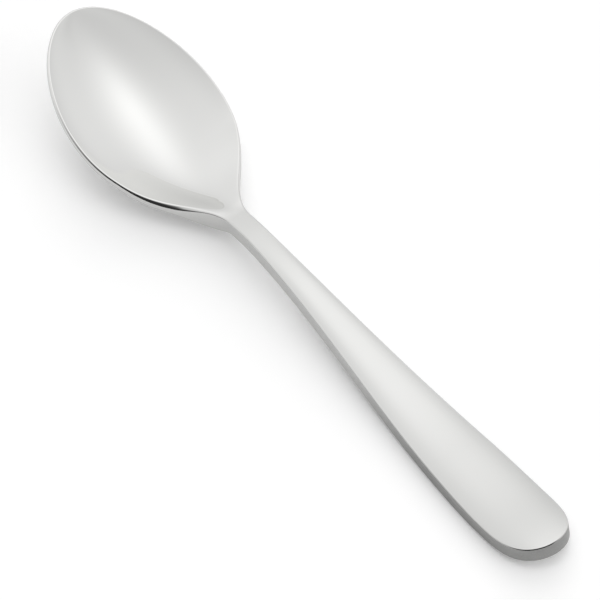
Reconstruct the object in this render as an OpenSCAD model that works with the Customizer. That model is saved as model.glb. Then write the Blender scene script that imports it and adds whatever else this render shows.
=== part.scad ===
// Demitasse spoon pressed from one blank of stainless steel, drawn as its bowl, its neck
// and its handle. It lies on its belly and on its handle with the hollow upwards, the bowl
// towards +Y and the middle of its length over the origin.

/* [Overall] */
// Length from the end of the handle to the tip of the bowl
overall_len = 115; // [105:1:125]

/* [Bowl] */
// Width at the widest place
bowl_w = 23.8; // [20:0.1:28]
// Length from the widest place to the tip
tip_len = 18.6; // [16:0.2:22]
// Share of the width that the tip is drawn in by
tip_taper = 0.08; // [0:0.01:0.15]
// Length from the narrowest place of the neck to the widest place of the bowl
shoulder_len = 23.6; // [20:0.2:28]
// How far the flanks lead back from the widest place before they turn in
flank_reach = 13.7; // [10:0.1:16]
// How far the neck leads into the shoulders before they flare
flare_reach = 7; // [5:0.1:9]
// Depth of the hollow below the rim
bowl_depth = 4.5; // [3.5:0.1:5.5]
// Length over which the heel sinks from the neck to the full depth
heel_len = 33; // [28:1:40]
// Distance from the narrowest place of the neck to the start of the hollow
heel_start = 1.5; // [0:0.1:3]
// Fullness of the heel inside, where more is steeper
heel_fullness = 6.4; // [5:0.1:9]
// How much the walls of the hollow close in towards the neck, where 0 is not at all
heel_close = 0.4; // [0:0.1:1]
// Fullness of the heel on the underside
belly_fullness = 6; // [4:0.1:8]
// Fullness of the hollow towards the tip, where 2 is a parabola
tip_fullness = 2.3; // [2:0.1:3]
// How much the walls of the hollow ease off from the middle, where 0 is a parabola
wall_ease = 0.62; // [0:0.01:0.8]
// Share of that easing which the walls give back at the rim
wall_return = 0.85; // [0.5:0.01:1]
// How far the rim sags over the shoulders
rim_sag = 0.6; // [0:0.1:1]
// Distance from the narrowest place of the neck to the middle of that sag
sag_ahead = 9.8; // [8:0.2:14]
// Half of the length of that sag
sag_len = 6.8; // [4:0.2:8]
// Extra thickness of the shoulders below the rim
shoulder_swell = 0.9; // [0:0.1:1.2]
// Length of that swelling from the narrowest place of the neck
swell_len = 10; // [6:1:16]
// Thickness of the floor at its deepest place
floor_t = 1.5; // [0.8:0.1:2]
// Height of the rim's outer edge
rim_t = 1.1; // [0.8:0.1:1.5]

/* [Neck] */
// Width at the narrowest place
neck_w = 3.5; // [2.8:0.1:5]
// Thickness at the narrowest place
neck_t = 2.3; // [1.5:0.1:2.8]
// Length of the neck behind its narrowest place
neck_len = 16; // [10:1:24]

/* [Handle] */
// Width at the widest place
handle_w = 10.8; // [8:0.1:14]
// Thickness at the widest place
handle_t = 2.1; // [1.6:0.05:2.8]
// Rise of the rounded top above its edges at the widest place
handle_crown = 1.05; // [0.2:0.05:1.2]
// Fullness of that rounding across the handle, where 2 is a parabola
crown_fullness = 2.4; // [2:0.1:4]
// Share of that rounding which is left at the neck
crown_left = 0.15; // [0.1:0.05:1]
// Length of the rounded end
end_len = 10; // [6:0.5:14]
// Fullness of the rounded end, where 2 is an ellipse
end_fullness = 3.8; // [2:0.1:6]
// How far the sides lead on from the widest place before they taper
side_reach = 15.2; // [8:0.1:22]
// How far the neck's sides lead back before the handle widens
taper_reach = 23.5; // [14:0.1:30]

/* [Side profile] */
// Distance from the end to the place where the handle touches the table
seat_from_end = 20.8; // [16:0.2:28]
// Rise of the end above that place
end_lift = 1.7; // [0:0.1:3]
// Steepness of the end, as rise over run
end_slope = 0.32; // [0:0.01:0.5]
// Rise of the neck's crest above the place where the handle touches
crest_rise = 3.3; // [2:0.1:5]
// Distance from the crest to the narrowest place of the neck
crest_back = 4.1; // [2:0.1:8]
// Drop of the shoulders below the crest
dip_drop = 0.75; // [0:0.05:1.5]
// Distance from the narrowest place of the neck to the lowest place of the shoulders
dip_ahead = 5.8; // [3:0.1:9]
// Rise of the tip above the place where the handle touches
tip_rise = 11.2; // [7:0.1:14]
// Steepness of the rim at the tip, as rise over run
tip_slope = 0.36; // [0.1:0.01:0.6]

/* [Edges] */
// Width of the rounding along the top edges
edge_w = 0.45; // [0.2:0.05:0.7]
// Height of the rounding along the top and bottom edges
edge_h = 0.3; // [0.1:0.05:0.4]
// Height of the bevel along the top of the rim
rim_bevel = 0.5; // [0.2:0.05:0.6]
// Height of the small break along the rim's lower edge
rim_break = 0.1; // [0.05:0.05:0.2]

/* [Hidden] */

steel_bowl = [0.86, 0.87, 0.88];
steel_neck = [0.80, 0.81, 0.82];
steel_handle = [0.76, 0.77, 0.78];

// Rings along each stretch, and points across a ring's top, underside and rounded corners
end_rings = 12;
side_rings = 16;
neck_rings = 8;
shoulder_rings = 18;
tip_rings = 18;
top_points = 18;
base_points = 14;
corner_points = 3;

// Angle short of the very end and the very tip at which the last rings are cut flat
end_cut = 4;
tip_cut = 4;
// Share of the half-width that an edge rounding may take near the end and the tip
edge_share = 0.6;
// Half of the step over which the steepness of the side profile is taken
slope_step = 0.01;

// How far the sloping end and tip reach past their top edges
end_lean = handle_t * end_slope / norm([1, end_slope]);
tip_lean = rim_t * tip_slope / norm([1, tip_slope]);

// Places along the length, from the end of the handle to the tip
end_y = end_lean - overall_len / 2;
wide_y = end_y + end_len;
seat_y = end_y + seat_from_end;
tip_y = overall_len / 2 - tip_lean;
bowl_y = tip_y - tip_len;
neck_y = bowl_y - shoulder_len;
crest_y = neck_y - crest_back;
dip_y = neck_y + dip_ahead;

function mix(a, b, t) = a + (b - a) * t;

function limit(t) = min(max(t, 0), 1);

function bezier(p, t) =
    p[0] * (1 - t) ^ 3 + p[1] * 3 * t * (1 - t) ^ 2 + p[2] * 3 * t ^ 2 * (1 - t) + p[3] * t ^ 3;

// Share of the way along a curve at which it passes y, found by halving
function share_at(p, y, low = 0, high = 1, halvings = 40) =
    let (mid = (low + high) / 2)
    halvings == 0 ? mid
    : bezier(p, mid)[0] < y ? share_at(p, y, mid, high, halvings - 1)
    : share_at(p, y, low, mid, halvings - 1);

// Outline seen from above: each station is its place along the length and its half-width
side_curve = [
    [wide_y, handle_w / 2],
    [wide_y + side_reach, handle_w / 2],
    [neck_y - taper_reach, neck_w / 2],
    [neck_y, neck_w / 2]
];

shoulder_curve = [
    [neck_y, neck_w / 2],
    [neck_y + flare_reach, neck_w / 2],
    [bowl_y - flank_reach, bowl_w / 2],
    [bowl_y, bowl_w / 2]
];

neck_share = share_at(side_curve, neck_y - neck_len);

end_stations = [
    for (i = [0 : end_rings - 1])
        let (u = cos(mix(end_cut, 90, i / end_rings)))
        [wide_y - end_len * u, handle_w / 2 * sqrt(1 - u ^ end_fullness)]
];

side_stations = [for (i = [0 : side_rings]) bezier(side_curve, neck_share * i / side_rings)];

neck_stations = [for (i = [0 : neck_rings]) bezier(side_curve, mix(neck_share, 1, i / neck_rings))];

shoulder_stations = [for (i = [0 : shoulder_rings - 1]) bezier(shoulder_curve, i / shoulder_rings)];

tip_stations = [
    for (i = [0 : tip_rings])
        let (a = (90 - tip_cut) * i / tip_rings)
        [bowl_y + tip_len * sin(a), bowl_w / 2 * cos(a) * (1 - tip_taper * sin(a) ^ 2)]
];

handle_stations = concat(end_stations, side_stations);
bowl_stations = concat(shoulder_stations, tip_stations);

// Side profile of the top edges, as places with a height and a steepness
profile = [
    [end_y, end_lift, -end_slope],
    [seat_y, 0, 0],
    [crest_y, crest_rise, 0],
    [dip_y, crest_rise - dip_drop, 0],
    [tip_y, tip_rise, tip_slope]
];

function smooth_between(a, b, y) =
    let (run = b[0] - a[0], t = (y - a[0]) / run)
    a[1] * (1 + 2 * t) * (1 - t) ^ 2 + run * a[2] * t * (1 - t) ^ 2
    + b[1] * t ^ 2 * (3 - 2 * t) + run * b[2] * t ^ 2 * (t - 1);

function profile_z(y) =
    let (passed = [for (i = [1 : len(profile) - 2]) if (y >= profile[i][0]) i], k = len(passed))
    smooth_between(profile[k], profile[k + 1], y);

// Share of the full depth that the heel has reached
function heel(y, start, fullness) =
    let (t = limit((y - neck_y - start) / heel_len))
    1 - (1 - t) ^ fullness * (1 + fullness * t);

// Share of the depth that is left towards the tip
function tip_share(y) = 1 - limit((y - bowl_y) / tip_len) ^ tip_fullness;

// Share of the depth that is left at u, from 0 at the middle to 1 at the rim
function wall(u) = (1 - u ^ 2) * (1 - wall_ease * u ^ 2 * (1 - wall_return * u ^ 2));

// Share of the handle's form: all up to the neck, none in the bowl
function stem(y) = 1 - heel(y, 0, belly_fullness);

// The same share as the wall's, for the top face, where the walls close in towards the neck
function hollow(u, y) = limit(1 - u ^ 2) ^ (heel_close * stem(y)) * wall(u);

// Share of the crown, which falls off along the neck and runs out over the rounded end
function crown_share(y) =
    let (t = limit((neck_y - y) / neck_len))
    mix(crown_left, 1, t ^ 2 * (3 - 2 * t)) * (1 - limit((wide_y - y) / end_len) ^ end_fullness);

function sag(y) = rim_sag * (1 - limit(abs(y - neck_y - sag_ahead) / sag_len) ^ 2) ^ 2;

// Swelling of the shoulders, which is full after two fifths of its length
function swell(y) =
    let (t = limit((y - neck_y) / swell_len))
    shoulder_swell * (t / 0.4) ^ 2 * ((1 - t) / 0.6) ^ 3;

function edge_t(y) =
    mix(rim_t, mix(neck_t, handle_t, limit((neck_y - y) / (neck_y - wide_y))), stem(y)) + swell(y);

function crown(y, w) = handle_crown * w / (handle_w / 2) * crown_share(y) * stem(y);

function depth(y) = bowl_depth * heel(y, heel_start, heel_fullness) * tip_share(y);

function belly(y) = (bowl_depth + floor_t - rim_t) * heel(y, 0, belly_fullness) * tip_share(y);

// Direction square to a side profile of a given steepness
function square_to(slope) = [0, -slope, 1] / norm([slope, 1]);

function profile_slope(y) = (profile_z(y + slope_step) - profile_z(y - slope_step)) / (2 * slope_step);

// The spoon is tipped and lowered until its belly and its handle both touch the table
function underside(stations) = [
    for (s = stations)
        let (y = s[0])
        [0, y, profile_z(y)] - (edge_t(y) + belly(y)) * square_to(profile_slope(y))
];

function lowest(points) =
    let (low = min([for (p = points) p[2]]))
    [for (p = points) if (p[2] == low) p][0];

handle_low = lowest(underside(handle_stations));
bowl_low = lowest(underside(bowl_stations));
tip_up = (bowl_low[2] - handle_low[2]) / (bowl_low[1] - handle_low[1]);

function edge_z(y) = profile_z(y) - handle_low[2] - tip_up * (y - handle_low[1]);

// Half a cross-section's corner points, from the top edge down to the underside
function corner(w, land, drop, foot, t) = concat(
    [
        for (i = [1 : corner_points])
            let (a = 90 * i / corner_points)
            [w - land * (1 - sin(a)), -drop * (1 - cos(a))]
    ],
    [
        for (i = [0 : corner_points - 1])
            let (a = 90 * i / corner_points)
            [w - foot * (1 - cos(a)), -t + foot * (1 - sin(a))]
    ]
);

function mirrored(points) = [for (i = [len(points) - 1 : -1 : 0]) [-points[i][0], points[i][1]]];

// One cross-section, square to the side profile, as points around it
function ring(station) =
    let (
        y = station[0],
        w = station[1],
        t = edge_t(y),
        land = min(edge_w, edge_share * w),
        foot = min(mix(rim_break, edge_h, stem(y)), edge_share * w),
        in_top = w - land,
        in_base = w - foot,
        edge = corner(w, land, mix(rim_bevel, edge_h, stem(y)), foot, t),
        side = [for (p = edge) p - [0, sag(y)]],
        flat = concat(
            [
                for (i = [0 : top_points])
                    let (
                        u = mix(-1, 1, i / top_points),
                        rise = crown(y, w) * (1 - abs(u) ^ crown_fullness)
                    )
                    [u * in_top, rise - depth(y) * hollow(u, y) - sag(y) * u ^ 2]
            ],
            side,
            [
                for (i = [0 : base_points])
                    let (u = mix(1, -1, i / base_points))
                    [u * in_base, -t - belly(y) * wall(u) - sag(y) * u ^ 2]
            ],
            mirrored(side)
        ),
        up = square_to(profile_slope(y) - tip_up)
    )
    [for (p = flat) [p[0], y, edge_z(y)] + p[1] * up];

// Closed solid through a row of cross-sections, with a flat face at each end
module loft(stations) {
    rings = [for (s = stations) ring(s)];
    n = len(rings[0]);
    last = (len(rings) - 1) * n;
    polyhedron(
        points = [for (r = rings) each r],
        faces = concat(
            [[for (j = [n - 1 : -1 : 0]) j]],
            [
                for (i = [0 : len(rings) - 2], j = [0 : n - 1])
                    let (a = i * n + j, b = i * n + (j + 1) % n)
                    each [[a, b, b + n], [a, b + n, a + n]]
            ],
            [[for (j = [0 : n - 1]) last + j]]
        )
    );
}

module bowl() {
    color(steel_bowl) loft(bowl_stations);
}

module neck() {
    color(steel_neck) loft(neck_stations);
}

module handle() {
    color(steel_handle) loft(handle_stations);
}

bowl();
neck();
handle();
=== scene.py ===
import math

import bmesh
import bpy
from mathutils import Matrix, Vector


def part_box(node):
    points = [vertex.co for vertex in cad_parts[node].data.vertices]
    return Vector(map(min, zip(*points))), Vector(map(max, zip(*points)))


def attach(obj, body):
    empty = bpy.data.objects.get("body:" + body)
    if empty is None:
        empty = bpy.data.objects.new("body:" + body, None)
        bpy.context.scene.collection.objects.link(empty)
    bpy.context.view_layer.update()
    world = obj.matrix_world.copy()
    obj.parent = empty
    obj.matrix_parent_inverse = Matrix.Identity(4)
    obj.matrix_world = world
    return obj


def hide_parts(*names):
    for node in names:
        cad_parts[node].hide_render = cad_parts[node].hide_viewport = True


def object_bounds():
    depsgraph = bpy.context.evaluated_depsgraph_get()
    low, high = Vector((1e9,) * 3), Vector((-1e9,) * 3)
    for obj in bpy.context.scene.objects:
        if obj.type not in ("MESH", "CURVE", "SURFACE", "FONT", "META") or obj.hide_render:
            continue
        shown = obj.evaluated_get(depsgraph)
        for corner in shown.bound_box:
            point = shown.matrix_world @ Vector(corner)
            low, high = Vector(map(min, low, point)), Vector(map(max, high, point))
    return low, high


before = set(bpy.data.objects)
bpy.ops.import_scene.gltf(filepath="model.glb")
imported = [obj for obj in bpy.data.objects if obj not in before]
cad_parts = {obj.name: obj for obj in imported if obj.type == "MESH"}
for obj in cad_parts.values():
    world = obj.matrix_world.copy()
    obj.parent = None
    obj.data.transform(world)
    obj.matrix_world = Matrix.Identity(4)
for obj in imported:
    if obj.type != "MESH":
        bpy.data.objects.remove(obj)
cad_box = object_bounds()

MM = 0.001
QUARTER_TURN = math.pi / 2

# Sizes of the spoon in millimetres, as it lies along Y with its bowl towards +Y.
overall_len = (cad_box[1].y - cad_box[0].y) / MM
bowl_w = (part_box("bowl")[1].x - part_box("bowl")[0].x) / MM
handle_w = (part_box("handle")[1].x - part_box("handle")[0].x) / MM

# Bowl: its outline forward and back of the widest place, its hollow and its heel.
tip_len = 18.6
tip_taper = 0.08
shoulder_len = 23.6
flank_reach = 13.7
flare_reach = 7.0
bowl_depth = 4.5
heel_len = 33.0
heel_start = 1.5
heel_fullness = 6.4
heel_close = 0.4
belly_fullness = 6.0
tip_fullness = 2.3
wall_ease = 0.62
wall_return = 0.85
floor_t = 1.5
rim_t = 1.1

# Shoulders: the rim sags over them, and they swell below it.
rim_sag = 0.6
sag_ahead = 9.8
sag_len = 6.8
shoulder_swell = 0.9
swell_len = 10.0
swell_peak = 0.4

# Neck and handle: their outline, edge thickness and the crown of the top face.
neck_w = 3.5
neck_t = 2.3
neck_len = 16.0
handle_t = 2.1
handle_crown = 1.05
crown_fullness = 2.4
crown_left = 0.15
end_len = 10.0
end_fullness = 3.8
side_reach = 15.2
taper_reach = 23.5

# Edges: each top edge goes in by its width and down by its height. Its roundness is 1
# for a flat bevel and 2 for a quarter of an oval. Neck and handle are simply rounded.
edge_w = 0.4
edge_h = 0.3
edge_round = 2.0
rim_break = 0.1
seam_line = 0.03

# The rim has a narrow land and a ground bevel, which narrows towards the tip.
rim_land = 0.12
land_fall = 0.03
rim_bevel_w = 0.38
rim_bevel_h = 0.6
rim_round = 1.06
bevel_left = 0.42
bevel_full = 7.5
bevel_fall = 8.5

# How much of the stem is left where that bevel is still whole, and how much more there
# is where it has become the simply rounded edge.
plain_from = 0.45
plain_over = 0.4

# The handle's end has a fine bevel, steeper round the very end.
end_bevel_w = 0.11
end_bevel_h = 0.18
end_bevel_lean = 0.64
end_bevel_round = 1.1
end_bevel_len = 26.0
end_bevel_fall = 16.0

# Side profile of the top edge: slope at the handle's end and at the bowl's tip,
# and heights above the table.
end_slope = -0.318
tip_slope = 0.362
rest_slope = 0.002
end_height = 3.84
seat_height = 2.18
crest_height = 5.58
dip_height = 4.86
tip_height = 13.59
seat_from_end = 20.8
crest_back = 4.1
dip_ahead = 5.8

# Places along the spoon that follow from the sizes.
end_y = -overall_len / 2 + handle_t * -end_slope / math.hypot(1, end_slope)
tip_y = overall_len / 2 - rim_t * tip_slope / math.hypot(1, tip_slope)
wide_y = end_y + end_len
bowl_y = tip_y - tip_len
neck_y = bowl_y - shoulder_len
side_profile = (
    (end_y, end_height, end_slope),
    (end_y + seat_from_end, seat_height, rest_slope),
    (neck_y - crest_back, crest_height, rest_slope),
    (neck_y + dip_ahead, dip_height, rest_slope),
    (tip_y, tip_height, tip_slope),
)
handle_side = (
    Vector((handle_w / 2, wide_y)),
    Vector((handle_w / 2, wide_y + side_reach)),
    Vector((neck_w / 2, neck_y - taper_reach)),
    Vector((neck_w / 2, neck_y)),
)
bowl_shoulder = (
    Vector((neck_w / 2, neck_y)),
    Vector((neck_w / 2, neck_y + flare_reach)),
    Vector((bowl_w / 2, bowl_y - flank_reach)),
    Vector((bowl_w / 2, bowl_y)),
)

# The blank is a flat strip: along it come the handle's round end, the handle's sides,
# the bowl's shoulders and the bowl's tip.
end_at, sides_at, shoulders_at, tip_at, blank_len = 0, 1, 2, 3, 4
end_rows, side_rows, neck_rows, bowl_rows = 60, 160, 60, 220
blank_columns = 56

# Its layers go down from the top face and its land, over the top edge, the wall and the
# foot of the wall, to the underside.
top_layer, land_layer, under_layer = 0, 1, 15
edge_layers = (2, 7)
foot_layers = (8, 14)

# Points count as one within these distances, on the blank and in millimetres after
# pressing. A side's direction is taken over a small nudge along it, a round end is
# reached at the pole, and tiny stands for nothing where a length is divided or halved.
blank_weld = 1e-5
pressed_weld = 1e-4
side_nudge = 0.001
pole = 0.9999
tiny = 1e-9

# Finish and painted shade: where along the spoon each one fades out, from full to none.
satin_fade = (neck_y + 0.5, neck_y + 3)
dull_fade = (neck_y - neck_len, neck_y - 2)
far_fade = (end_y + 8, end_y + 34)
far_wall_fade = (end_y + 20, end_y + 44)
satin_wall_fade = (neck_y - 12, neck_y + 12)

# Roughness of the polish, and what the other finishes add to it. The polish shows some
# of the clouds, and the bevel at the handle's end is buffed nearly back to polish.
polish_rough = 0.045
satin_rough = 0.13
dull_rough = 0.03
wall_rough = 0.16
grain_rough = 0.12
cloud_rough = 0.05
polish_cloud = 0.3
end_buffing = 0.9

# Grain runs along the spoon. Its size and that of the clouds are in spots per metre,
# and its depth is in millimetres.
grain_spots = (9000, 120, 9000)
cloud_spots = 260
noise_detail = 3
noise_middle = 0.5
grain_crispness = 0.6
grain_depth = 0.004
grain_strength = 0.25

# Tones of the steel. The dull tone is mostly lost at the handle's end, and at the neck base
# too, where the darker satin tone is painted shade. The walls go partly over to the darkest
# tone, as painted shade for the shadowed floor they mirror, unevenly with the grain and
# most at the far end.
polished_tone = (0.70, 0.70, 0.69, 1)
painted_shade_satin_tone = (0.60, 0.60, 0.59, 1)
dull_tone = (0.65, 0.65, 0.64, 1)
painted_wall_shade_tone = (0.28, 0.28, 0.275, 1)
end_painted_shade = 0.9
wall_shade, dull_wall_shade, far_wall_shade = 0.3, 0.08, 0.58
grain_shade_low, grain_shade_span = 0.7, 0.6

# Studio: the floor's half width in metres, its tone and its own glow to the eye.
white = (1, 1, 1, 1)
floor_reach = 2
floor_tone = (0.95, 0.95, 0.95, 1)
floor_glow = 0.12

# Light: an even level, and soft pools with their strength, their direction in degrees
# to the right of straight ahead and up, and their tightness. The steel mirrors the tent,
# and the floor is lit by the lamps.
tent_level = 0.78
tent_pools = ((0.28, 88, 83, 7.6), (0.465, 29, 55, 3.1), (0.38, -69, 13, 3.5))
lamp_level = 0.38
lamp_pools = ((1.45, 0, 90, 8), (2.65, 0, 18, 8), (1.65, 120, 18, 8))

# The tent is open low down on the camera's side. The dark fades out between these two
# heights of a ray, and between these two shares of straight ahead.
low_end = (0.26, 0.55)
front_end = (-0.6, 0.25)
opening_dark = 0.95

# Camera: its heading and its height in degrees, its distance in metres, and the scale
# and place of the picture in pixels of a square frame.
heading = math.radians(36.23)
tilt = math.radians(48)
reach = 0.6
frame_px = 600
px_per_m = 7065
aim_right, aim_down = 2.45, 6.21
film_w = 36
near_clip = 0.01


def mix(a, b, share):
    return a + (b - a) * share


def within(share):
    """A share kept between 0 and 1."""
    return min(max(share, 0), 1)


def ease(share):
    """A share that starts and ends softly."""
    share = within(share)
    return share**2 * (3 - 2 * share)


def share_of(layer, layers):
    """How far a layer is from the first to the last of some layers."""
    first, last = layers
    return (layer - first) / (last - first)


def along_curve(curve, share):
    """A point on a side curve, as half width and place along the spoon."""
    rest = 1 - share
    return (
        curve[0] * rest**3
        + curve[1] * 3 * rest**2 * share
        + curve[2] * 3 * rest * share**2
        + curve[3] * share**3
    )


def share_at(curve, y):
    """How far along a side curve the place y is."""
    low, high = 0.0, 1.0
    while high - low > tiny:
        half = (low + high) / 2
        low, high = (half, high) if along_curve(curve, half).y < y else (low, half)
    return low


def edge_line(y):
    """Height and slope of the top edge at y."""
    for (y0, z0, m0), (y1, z1, m1) in zip(side_profile, side_profile[1:]):
        if y <= y1 or y1 == tip_y:
            break
    span = y1 - y0
    t = (y - y0) / span
    height = (
        z0 * (1 + 2 * t) * (1 - t) ** 2
        + m0 * span * t * (1 - t) ** 2
        + z1 * t**2 * (3 - 2 * t)
        + m1 * span * t**2 * (t - 1)
    )
    slope = (
        6 * (z1 - z0) / span * t * (1 - t)
        + m0 * (1 - t) * (1 - 3 * t)
        + m1 * t * (3 * t - 2)
    )
    return height, slope


def heel(y, start, fullness):
    """Share of the bowl's full depth that its heel has reached at y."""
    t = within((y - neck_y - start) / heel_len)
    return 1 - (1 - t) ** fullness * (1 + fullness * t)


def round_cap(across, forward):
    """A point of a square sheet pulled round to a half disc."""
    return (
        across * math.sqrt(1 - forward**2 / 2),
        forward * math.sqrt(1 - across**2 / 2),
    )


def outline_place(across, along):
    """A point of the blank in the outline: its shares of the way to the side and to the
    round end, the half width there or the handle's at both ends, the splay of the side
    and its y."""
    if along < sides_at:
        side, end = round_cap(across, math.sin((sides_at - along) * QUARTER_TURN))
        return side, end, handle_w / 2, 1, wide_y - end_len * end
    if along > tip_at:
        side, end = round_cap(across, math.sin((along - tip_at) * QUARTER_TURN))
        return side, end, handle_w / 2, 1, bowl_y + tip_len * end
    if along < shoulders_at:
        curve, share = handle_side, along - sides_at
    else:
        curve, share = bowl_shoulder, along - shoulders_at
    half_w, y = along_curve(curve, share)
    run = along_curve(curve, share + side_nudge) - along_curve(curve, share - side_nudge)
    return across, 0, half_w, run.length / run.y, y


def edge_thickness(y, stem):
    """Thickness at the edge, where stem is 1 on the handle and falls to 0 in the bowl."""
    behind = within((neck_y - y) / (neck_y - wide_y))
    swell = within((y - neck_y) / swell_len)
    thick = mix(rim_t, mix(neck_t, handle_t, behind), stem)
    return thick + (
        shoulder_swell * (swell / swell_peak) ** 2 * ((1 - swell) / (1 - swell_peak)) ** 3
    )


def top_edge(y, end, stem):
    """Width, height and power of the top edge, and how far it is simply rounded."""
    plain = ease((stem - plain_from) / plain_over)
    bevel = mix(1, bevel_left, ease((y - neck_y - bevel_full) / bevel_fall))
    wide = mix(rim_bevel_w * bevel, edge_w, plain)
    high = mix(rim_bevel_h * bevel, edge_h, plain)
    roundness = mix(rim_round, edge_round, plain)
    ground = ease((end_y + end_bevel_len - y) / end_bevel_fall)
    wide = mix(wide, end_bevel_w * (1 - end_bevel_lean * end**2), ground)
    high = mix(high, end_bevel_h, ground)
    roundness = mix(roundness, end_bevel_round, ground)
    return wide, high, 2 / roundness, plain


def pressed(across, along, layer):
    """Where a point of the flat blank lies on the finished spoon, in millimetres."""
    across = math.sin(across * QUARTER_TURN)
    side, end, half_w, splay, y = outline_place(across, along)
    outwards = min(side**2 / max(1 - end**2, tiny), 1)
    hollow = (1 - outwards) * (1 - wall_ease * outwards * (1 - wall_return * outwards))
    if along > tip_at:
        hollow *= 1 - end**tip_fullness
    belly = heel(y, 0, belly_fullness)
    stem = 1 - belly

    thick = edge_thickness(y, stem)
    wide, high, power, plain = top_edge(y, end, stem)
    foot = mix(rim_break, edge_h, stem)
    crown = handle_crown * half_w / (handle_w / 2) * stem
    crown *= mix(crown_left, 1, ease((neck_y - y) / neck_len))
    if along < sides_at:
        crown *= 1 - end**end_fullness
    start = math.atan(crown_fullness * crown / half_w * wide / high)
    land = wide * (1 - math.sin(start) ** power) + mix(rim_land, 0, plain)

    if layer == top_layer:
        inset = land + seam_line
        depth = bowl_depth * heel(y, heel_start, heel_fullness)
        depth *= (1 - outwards) ** (heel_close * stem)
        rise = crown * (1 - outwards ** (crown_fullness / 2)) - depth * hollow
    elif layer == land_layer:
        inset, rise = land, 0
    elif layer <= edge_layers[1]:
        turn = mix(start, QUARTER_TURN, share_of(layer, edge_layers))
        fall = mix(land_fall, 0, plain)
        inset = wide * (1 - math.sin(turn) ** power)
        rise = -fall - (high - fall) * (math.cos(start) ** power - math.cos(turn) ** power)
    elif layer <= foot_layers[1]:
        turn = QUARTER_TURN * share_of(layer, foot_layers)
        inset = foot * (1 - math.cos(turn))
        rise = -thick + foot * (1 - math.sin(turn))
    else:
        inset = foot
        rise = -thick - (bowl_depth + floor_t - rim_t) * belly * hollow
    sag = rim_sag * (1 - min(abs(y - neck_y - sag_ahead) / sag_len, 1) ** 2) ** 2
    rise -= sag * outwards if layer in (top_layer, under_layer) else sag

    if along < sides_at:
        full = (1 - end**end_fullness) / (1 - end**2) if end < pole else end_fullness / 2
        x = (handle_w / 2 - inset) * side * math.sqrt(full)
        y = wide_y - (end_len - inset) * end
    elif along <= tip_at:
        x = (half_w - inset * splay) * across
    else:
        x = (bowl_w / 2 - inset) * (1 - tip_taper * end**2) * side
        y = bowl_y + (tip_len - inset) * end
    height, slope = edge_line(y)
    lean = math.hypot(1, slope)
    return Vector((x, y - rise * slope / lean, height + rise / lean))


def sheet(bm, first, last, rows, layer):
    """One flat sheet of the blank between two places along it."""
    grid = bmesh.ops.create_grid(bm, x_segments=blank_columns, y_segments=rows, size=1)
    made = grid["verts"]
    bmesh.ops.scale(bm, verts=made, vec=(1, (last - first) / 2, 1))
    bmesh.ops.translate(bm, verts=made, vec=(0, (last + first) / 2, -layer))


def new_object(name, bm):
    """Make an object of a finished bmesh."""
    mesh = bpy.data.meshes.new(name)
    bm.to_mesh(mesh)
    bm.free()
    made = bpy.data.objects.new(name, mesh)
    bpy.context.collection.objects.link(made)
    return made


def pressed_piece(name, first, last, rows):
    """Cut a length of the blank, close it, press it to shape and make it a piece."""
    bm = bmesh.new()
    sheet(bm, first, last, rows, top_layer)
    cuts = [place for place in (first, last) if end_at < place < blank_len]
    rim = [
        e
        for e in bm.edges
        if e.is_boundary
        and not any(all(abs(v.co.y - cut) < blank_weld for v in e.verts) for cut in cuts)
    ]
    for _ in range(under_layer):
        made = bmesh.ops.extrude_edge_only(bm, edges=rim)["geom"]
        below = [g for g in made if isinstance(g, bmesh.types.BMVert)]
        rim = [g for g in made if isinstance(g, bmesh.types.BMEdge)]
        bmesh.ops.translate(bm, verts=below, vec=(0, 0, -1))
    sheet(bm, first, last, rows, under_layer)
    bmesh.ops.remove_doubles(bm, verts=bm.verts, dist=blank_weld)
    # Extruding gives the faces in no fixed order, so they are sorted by their corners.
    bm.verts.index_update()
    bm.faces.sort(key=lambda f: f.verts[0].index * len(bm.verts) + f.verts[2].index)
    open_edges = [e for e in bm.edges if e.is_boundary]
    closed = bmesh.ops.holes_fill(bm, edges=open_edges)["faces"]
    for face in bm.faces:
        face.smooth = True
    for face in closed:
        face.smooth = False
        for edge in face.edges:
            edge.smooth = False
    # Marks for the finish and the painted wall shade: the wall from the top edge down, and
    # the middle of that edge.
    wall_mark = bm.verts.layers.float.new("wall")
    bevel_mark = bm.verts.layers.float.new("bevel")
    for v in bm.verts:
        across, along, layer = v.co
        layer = round(-layer)
        v[wall_mark] = ease(share_of(layer, edge_layers)) if layer < under_layer else 0.0
        v[bevel_mark] = ease(min(layer - edge_layers[0], edge_layers[1] - layer))
        v.co = pressed(across, along, layer) * MM
    bmesh.ops.remove_doubles(bm, verts=bm.verts, dist=pressed_weld * MM)
    bmesh.ops.recalc_face_normals(bm, faces=bm.faces)
    return new_object(name, bm)


class Wire:
    """A value in a node tree. Python's operators on it add Math nodes."""

    def __init__(self, tree, socket=None):
        self.tree, self.socket = tree, socket

    def node(self, kind, settings=None, sockets=None, out=0):
        """Add a node, set it up, feed its sockets and give back one of its outputs."""
        made = self.tree.nodes.new(kind)
        for name, value in (settings or {}).items():
            setattr(made, name, value)
        for name, value in (sockets or {}).items():
            if isinstance(value, Wire):
                self.tree.links.new(value.socket, made.inputs[name])
            else:
                made.inputs[name].default_value = value
        return Wire(self.tree, made.outputs[out] if made.outputs else None)

    def math(self, operation, *values):
        return self.node("ShaderNodeMath", {"operation": operation}, dict(enumerate(values)))

    def __add__(self, other):
        return self.math("ADD", self, other)

    __radd__ = __add__

    def __sub__(self, other):
        return self.math("SUBTRACT", self, other)

    def __rsub__(self, other):
        return self.math("SUBTRACT", other, self)

    def __mul__(self, other):
        return self.math("MULTIPLY", self, other)

    __rmul__ = __mul__


def soft_step(value, low, high):
    """0 below low, 1 above high, and a smooth rise between them."""
    return value.node(
        "ShaderNodeMapRange",
        {"interpolation_type": "SMOOTHSTEP"},
        {"Value": value, "From Min": low, "From Max": high},
    )


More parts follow.
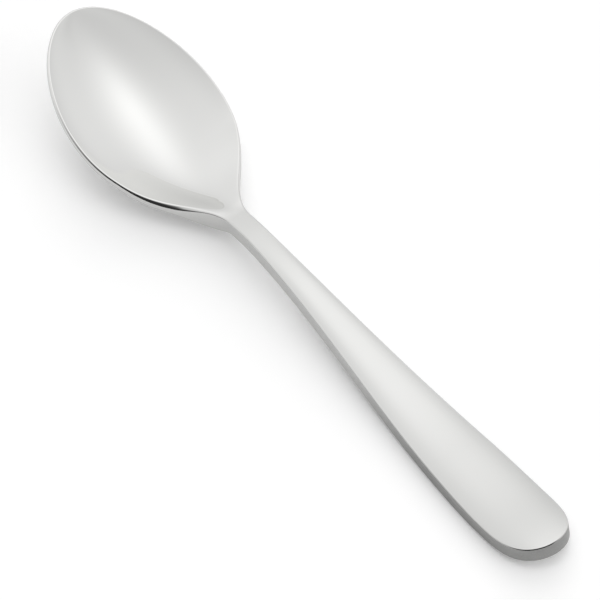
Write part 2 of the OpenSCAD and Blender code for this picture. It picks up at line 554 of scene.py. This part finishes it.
def fade(along, places):
    """1 behind the first of two places along the spoon, and 0 ahead of the second."""
    full, none = places
    return 1 - soft_step(along, full * MM, none * MM)


def blend(factor, first, second):
    """A colour between two others."""
    first_socket, second_socket, colour_out = 6, 7, 2
    return factor.node(
        "ShaderNodeMix",
        {"data_type": "RGBA"},
        {"Factor": factor, first_socket: first, second_socket: second},
        colour_out,
    )


def seen_by(tree, *rays):
    """1 for the named kinds of ray and 0 for all others."""
    share = sum(tree.node("ShaderNodeLightPath", None, None, ray) for ray in rays)
    return tree.node("ShaderNodeClamp", None, {"Value": share})


def new_material(name):
    material = bpy.data.materials.new(name)
    material.use_nodes = True
    material.node_tree.nodes.clear()
    return material, Wire(material.node_tree)


def steel(name):
    """Stainless steel: mirror polished in the bowl, going over to satin along the neck."""
    material, tree = new_material(name)
    place = tree.node("ShaderNodeTexCoord", None, None, "Object")
    along = tree.node("ShaderNodeSeparateXYZ", None, {"Vector": place}, "Y")
    wall = tree.node("ShaderNodeAttribute", {"attribute_name": "wall"}, None, "Fac")
    bevel = tree.node("ShaderNodeAttribute", {"attribute_name": "bevel"}, None, "Fac")
    satin = fade(along, satin_fade)
    satin = satin + wall * (fade(along, satin_wall_fade) - satin)
    dull = fade(along, dull_fade)
    # far and far_wall mark the handle's far end, where the painted shade is strongest; far
    # also sets where the end bevel is buffed.
    far = fade(along, far_fade)
    far_wall = fade(along, far_wall_fade)
    buffed = satin * (1 - end_buffing * bevel * far)

    lines = tree.node("ShaderNodeMapping", None, {"Vector": place, "Scale": grain_spots})
    grain = tree.node(
        "ShaderNodeTexNoise",
        None,
        {"Vector": lines, "Scale": 1, "Detail": noise_detail, "Roughness": grain_crispness},
    )
    cloud = tree.node(
        "ShaderNodeTexNoise",
        None,
        {"Vector": place, "Scale": cloud_spots, "Detail": noise_detail},
    )
    roughness = (
        polish_rough
        + satin_rough * buffed
        + dull_rough * dull
        + grain_rough * buffed * (grain - noise_middle)
        + cloud_rough * (cloud - noise_middle) * (polish_cloud + satin)
        + wall_rough * wall * buffed
    )
    # Painted shade: the dull tone gives way to the darker satin tone at the neck base, and
    # mostly at the handle's far end.
    colour = blend(dull - end_painted_shade * dull * far, painted_shade_satin_tone, dull_tone)
    colour = blend(satin, polished_tone, colour)
    # Painted shade on the walls, for the shadowed floor they mirror: they go over to the
    # darkest tone, unevenly with the grain and most at the far end.
    shade = wall * (wall_shade + dull_wall_shade * dull + far_wall_shade * far_wall)
    shade = shade * (grain_shade_low + grain_shade_span * grain)
    colour = blend(shade, colour, painted_wall_shade_tone)
    bump = tree.node(
        "ShaderNodeBump",
        None,
        {"Height": grain * buffed, "Strength": grain_strength, "Distance": grain_depth * MM},
    )
    shader = tree.node(
        "ShaderNodeBsdfPrincipled",
        None,
        {"Base Color": colour, "Metallic": 1.0, "Roughness": roughness, "Normal": bump},
    )
    tree.node("ShaderNodeOutputMaterial", None, {"Surface": shader})
    return material


neck_at = sides_at + share_at(handle_side, neck_y - neck_len)
bowl = pressed_piece("polished_bowl", shoulders_at, blank_len, bowl_rows)
neck = pressed_piece("slim_neck", neck_at, shoulders_at, neck_rows)
handle = pressed_piece("satin_handle", end_at, neck_at, end_rows + side_rows)
for piece, node, slot, material in (
    (bowl, "bowl", "polished_steel", steel("polished steel")),
    (neck, "neck", "fine_satin_steel", steel("fine satin steel")),
    (handle, "handle", "satin_steel", steel("satin steel")),
):
    piece.data.materials.append(material)
    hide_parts(node)
    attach(piece, "root")

# Floor
bm = bmesh.new()
bmesh.ops.create_grid(bm, x_segments=1, y_segments=1, size=floor_reach)
floor = new_object("floor", bm)
material, tree = new_material("white floor")
shown = seen_by(tree, "Is Camera Ray", "Is Glossy Ray", "Is Transmission Ray")
glow = tree.node("ShaderNodeEmission", None, {"Color": white, "Strength": floor_glow * shown})
paper = tree.node("ShaderNodeBsdfDiffuse", None, {"Color": floor_tone})
both = tree.node("ShaderNodeAddShader", None, {0: paper, 1: glow})
tree.node("ShaderNodeOutputMaterial", None, {"Surface": both})
floor.data.materials.append(material)

# World: a white background, the tent that the steel mirrors and the lamps on the floor.
world = bpy.data.worlds.new("studio")
bpy.context.scene.world = world
world.use_nodes = True
world.node_tree.nodes.clear()
tree = Wire(world.node_tree)
direction = tree.node("ShaderNodeTexCoord", None, None, "Generated")


def facing(axis):
    """How far a ray points along an axis."""
    return tree.node(
        "ShaderNodeVectorMath",
        {"operation": "DOT_PRODUCT"},
        {0: direction, 1: axis},
        "Value",
    )


def sky(right_of_ahead, height):
    """A direction given in degrees to the right of straight ahead, and up."""
    turn, height = heading + math.radians(right_of_ahead), math.radians(height)
    level = math.cos(height)
    return (math.sin(turn) * level, math.cos(turn) * level, math.sin(height))


def light(level, pools):
    """An even level of light with soft pools in it."""
    for strength, right_of_ahead, height, tightness in pools:
        near = facing(sky(right_of_ahead, height))
        pool = near.math("POWER", near.math("MAXIMUM", near, 0), tightness)
        level = level + strength * pool
    return level


low = 1 - soft_step(facing((0, 0, 1)), *low_end)
front = 1 - soft_step(facing(sky(0, 0)), *front_end)
tent = light(tent_level, tent_pools) * (1 - opening_dark * low * front)
lamps = light(lamp_level, lamp_pools)
strength = lamps + seen_by(tree, "Is Glossy Ray", "Is Transmission Ray") * (tent - lamps)
strength = strength + seen_by(tree, "Is Camera Ray") * (1 - strength)
studio = tree.node("ShaderNodeBackground", None, {"Color": white, "Strength": strength})
tree.node("ShaderNodeOutputWorld", None, {"Surface": studio})

# Camera at the photograph's angle, for a square frame.
back = -Vector((
    math.sin(heading) * math.cos(tilt),
    math.cos(heading) * math.cos(tilt),
    -math.sin(tilt),
))
right = Vector((math.cos(heading), -math.sin(heading), 0))
up = right.cross(-back)
aim = (up * aim_down - right * aim_right) / px_per_m
camera = bpy.data.objects.new("camera", bpy.data.cameras.new("camera"))
bpy.context.collection.objects.link(camera)
camera.location = aim + back * reach
camera.rotation_euler = (-back).to_track_quat("-Z", "Y").to_euler()
camera.data.sensor_width = film_w
camera.data.lens = px_per_m * reach * film_w / frame_px
camera.data.clip_start = near_clip
bpy.context.scene.camera = camera
bpy.context.scene.view_settings.view_transform = "Standard"
